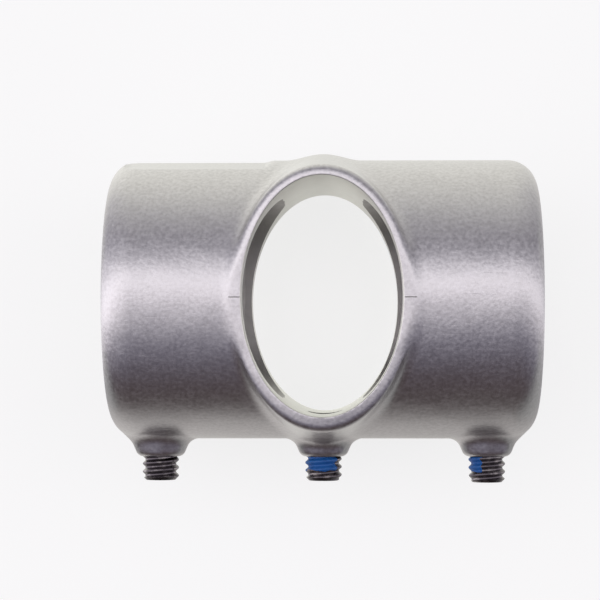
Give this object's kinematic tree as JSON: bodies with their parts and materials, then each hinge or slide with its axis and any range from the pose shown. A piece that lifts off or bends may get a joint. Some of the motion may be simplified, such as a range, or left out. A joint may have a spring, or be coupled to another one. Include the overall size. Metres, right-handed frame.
{
  "type": "cross coupling",
  "caption": "Cast sleeve that joins a round tube to an oval tube crossing it at right angles, clamped by socket set screws.",
  "frame": {"origin": "under the middle of the whole part, on the plane that the collar's rear rim rests on", "axes": "+X along the round sleeve, +Y away from the set screws, +Z along the oval hole, up"},
  "size_m": [0.0564, 0.0436, 0.0375],
  "materials": {
    "cast_metal": "bead-blasted cast metal, satin",
    "screw_steel": "black oxide, slightly oily",
    "patch_nylon": "fused nylon, semi-matt"
  },
  "bodies": {
    "body": {"coupling_body": "cast_metal"},
    "screw_left": {"set_screw_left": "screw_steel", "thread_patch_left": "patch_nylon"},
    "screw_middle": {"set_screw_middle": "screw_steel", "thread_patch_middle": "patch_nylon"},
    "screw_right": {"set_screw_right": "screw_steel", "thread_patch_right": "patch_nylon"}
  },
  "joints": [
    {"name": "screw_left_travel", "type": "slide", "parent": "body", "child": "screw_left", "axis": [0, 1, 0], "range_m": [-0.00212, 0.00317]},
    {"name": "screw_middle_travel", "type": "slide", "parent": "body", "child": "screw_middle", "axis": [0, 1, 0], "range_m": [-0.00212, 0.00317]},
    {"name": "screw_right_travel", "type": "slide", "parent": "body", "child": "screw_right", "axis": [0, 1, 0], "range_m": [-0.00212, 0.00317]}
  ]
}
